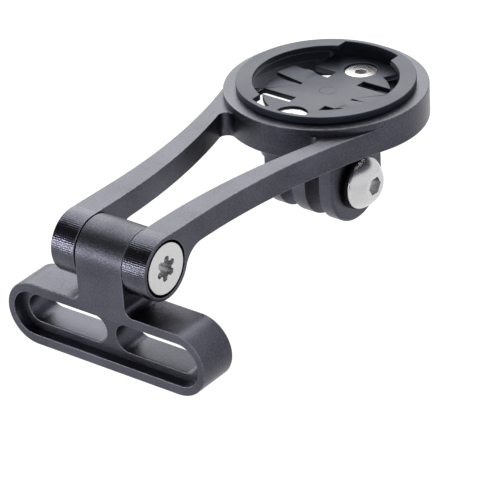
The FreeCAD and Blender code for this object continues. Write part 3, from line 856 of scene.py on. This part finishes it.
@dataclass
class Studio:
    """Pale floor, white surroundings, soft lamps and the camera at the photograph's place.

    Angles are in degrees. The camera's aim and distance are in millimetres, and the floor's
    half width is in metres. The surroundings light the part at the strength fill. Towards
    dim_towards they sink to the share dim_rest, between the cosines dim_from and dim_to.
    """

    azimuth: float = 39.446
    elevation: float = 29.777
    roll: float = -4.228
    aim: tuple[float, float, float] = (2.055, 34.712, 2.330)
    distance: float = 567.854
    lens: float = 247.5
    fill: float = 0.5
    dim_towards: tuple[float, float, float] = (-0.551, -0.497, 0.670)
    dim_from: float = 0.45
    dim_to: float = 0.95
    dim_rest: float = 0.06
    paper: str = "#c2c2c4"
    paper_glow: float = 0.55
    floor_half: float = 6.0
    lamps: list[Lamp] = field(default_factory=lambda: [
        Lamp("back_softbox", (-0.551, 0.450, 0.700), 0.75, 0.8, 0.95, 2.75, "#fffff7"),
        Lamp("front_strip", (-0.551, -0.834, 0.05), 0.8, 0.7, 0.07, 20.0),
    ])

    def add_camera(self) -> None:
        """Puts the camera where the photograph was taken from."""
        azimuth, elevation = math.radians(self.azimuth), math.radians(self.elevation)
        back = Vector((math.sin(azimuth) * math.cos(elevation),
                       -math.cos(azimuth) * math.cos(elevation), math.sin(elevation)))
        data = bpy.data.cameras.new("camera")
        data.lens = self.lens
        data.sensor_width = 36.0
        data.clip_start = 0.01
        data.clip_end = 50.0
        camera = bpy.data.objects.new("camera", data)
        bpy.context.scene.collection.objects.link(camera)
        level = back.to_track_quat("Z", "Y").to_matrix().to_4x4()
        place = Matrix.Translation((Vector(self.aim) + back * self.distance) * MM)
        roll = Matrix.Rotation(math.radians(self.roll), 4, "Z")
        camera.matrix_world = place @ level @ roll
        bpy.context.scene.camera = camera

    def add_world(self) -> None:
        """Lights the part evenly, dimmed above its left front, and shows white to the camera."""
        world = bpy.data.worlds.new("studio")
        bpy.context.scene.world = world
        world.use_nodes = True
        tree = world.node_tree
        tree.nodes.clear()
        way = add_node(tree, "ShaderNodeTexCoord").outputs["Generated"]
        dim = add_node(tree, "ShaderNodeVectorMath", {
            0: way, 1: Vector(self.dim_towards).normalized()}, operation="DOT_PRODUCT")
        shade = add_node(tree, "ShaderNodeMapRange", {
            "Value": dim.outputs["Value"], "From Min": self.dim_from, "From Max": self.dim_to,
            "To Min": 1.0, "To Max": self.dim_rest}, interpolation_type="SMOOTHSTEP")
        path = add_node(tree, "ShaderNodeLightPath").outputs
        plain = add_node(tree, "ShaderNodeMath", {
            0: path["Is Camera Ray"], 1: path["Is Transmission Ray"]}, operation="MAXIMUM")
        lit = add_node(tree, "ShaderNodeMapRange", {
            "Value": path["Is Glossy Ray"], "To Min": self.fill, "To Max": 1.0})
        dimmed = add_node(tree, "ShaderNodeMath", {
            0: lit.outputs["Result"], 1: shade.outputs["Result"]}, operation="MULTIPLY")
        strength = add_node(tree, "ShaderNodeMath", {
            0: dimmed.outputs[0], 1: plain.outputs[0]}, operation="MAXIMUM")
        light = add_node(tree, "ShaderNodeBackground", {
            "Color": WHITE, "Strength": strength.outputs[0]})
        add_node(tree, "ShaderNodeOutputWorld", {"Surface": light.outputs[0]})

    def add_floor(self, height: float) -> None:
        """Lays the floor, which shows white with the part's shadow on it.

        Args:
            height: The floor's height in metres.
        """
        shape = bmesh.new()
        bmesh.ops.create_grid(shape, x_segments=1, y_segments=1, size=self.floor_half)
        bmesh.ops.translate(shape, verts=shape.verts, vec=(0, 0, height))
        mesh = bpy.data.meshes.new("floor")
        shape.to_mesh(mesh)
        shape.free()
        floor = bpy.data.objects.new("floor", mesh)
        bpy.context.scene.collection.objects.link(floor)
        floor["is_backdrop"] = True
        material = bpy.data.materials.new("white_paper")
        material.use_nodes = True
        tree = material.node_tree
        tree.nodes.clear()
        paper = add_node(tree, "ShaderNodeBsdfDiffuse", {"Color": linear(self.paper)})
        path = add_node(tree, "ShaderNodeLightPath").outputs
        seen = path["Is Camera Ray"]
        for ray in ("Is Glossy Ray", "Is Transmission Ray"):
            seen = add_node(tree, "ShaderNodeMath", {0: seen, 1: path[ray]},
                            operation="MAXIMUM").outputs[0]
        lift = add_node(tree, "ShaderNodeMath", {0: seen, 1: self.paper_glow},
                        operation="MULTIPLY")
        glow = add_node(tree, "ShaderNodeEmission", {
            "Color": WHITE, "Strength": lift.outputs[0]})
        both = add_node(tree, "ShaderNodeAddShader", {0: paper.outputs[0], 1: glow.outputs[0]})
        add_node(tree, "ShaderNodeOutputMaterial", {"Surface": both.outputs[0]})
        mesh.materials.append(material)

    def build(self, target: Vector, floor: float) -> None:
        """Makes the whole studio.

        Args:
            target: The point that the lamps face, in metres.
            floor: The floor's height in metres.
        """
        self.add_camera()
        self.add_world()
        self.add_floor(floor)
        for lamp in self.lamps:
            lamp.build(target)
        bpy.context.scene.view_settings.view_transform = "Standard"


def main() -> None:
    """Builds the pieces and the studio."""
    logging.basicConfig(level=logging.INFO, format="%(message)s")
    cad_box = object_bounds()
    arm = ArmFrame.from_record(frame["record"])
    hinge = arm.matrix.translation
    reach = arm.box("ring_arm")
    seat = QuarterTurnSeat(arm)

    # Aluminium, bead-blasted and anodised dark grey: a mottled satin that turns pale only where
    # it mirrors a lamp, and glossier on the knuckles, which the cutter left in fine lines
    milled = {"hinge": tuple(hinge), "knuckle_radius": -reach[0].y}
    block_grey = MilledHingeFinish("anodised_aluminium_block", Surface.BLASTED, "#4d4d57", 1.0,
                                   0.36, knuckle_roughness=0.42, line_depth=0.001,
                                   **milled).build()
    arm_grey = MilledHingeFinish("anodised_aluminium_arm", Surface.BLASTED, "#4b4b55", 1.0,
                                 0.34, knuckle_roughness=0.24, **milled).build()
    # The same on the broken edges, lighter: partly rubbed down to the bare metal in specks,
    # partly a painted highlight where the edges catch the lamps
    worn_and_highlit_grey = Finish("anodised_aluminium_worn_and_highlit_edge", Surface.RUBBED, "#606069", 1.0,
                       0.34).build()
    prong_grey = Finish("anodised_aluminium_prongs", Surface.BLASTED, "#4b4b55", 1.0,
                        0.36).build()
    # Black nylon, moulded against a spark-eroded tool: dull and even, with a bluish sheen
    nylon = MouldedSeatFinish("moulded_nylon", Surface.MOULDED, "#1c1e23", 0.0, 0.40,
                              specular_tint="#c4d1fb", middle=seat.pin_place()).build()
    # Stainless steel, turned and tumbled: bright, nearly smooth and softly blurred
    steel = Finish("tumbled_stainless_steel", Surface.TUMBLED, "#cdccce", 1.0, 0.29).build()
    # Blackened spring steel: dark and slightly oily
    black = Finish("blackened_steel", Surface.BLACKENED, "#1b1b1e", 1.0, 0.35).build()

    # The block's and the arm's broken edges take the lighter edge finish: wear and a painted
    # highlight
    pieces = HandlebarBlock().build(block_grey, worn_and_highlit_grey)
    pieces += Hinge(arm).build(steel, black)
    pieces += RingArm().build(arm_grey, worn_and_highlit_grey)
    pieces += seat.build(nylon, steel)
    pieces += FingerClamp(arm).build(prong_grey, steel, black)

    low, high = cad_box
    # The floor lies low enough for the arm to hang straight down from the hinge
    clearance = 3 * MM
    Studio().build((low + high) / 2, hinge.z - reach[1].y - clearance)


if __name__ == "__main__":
    main()
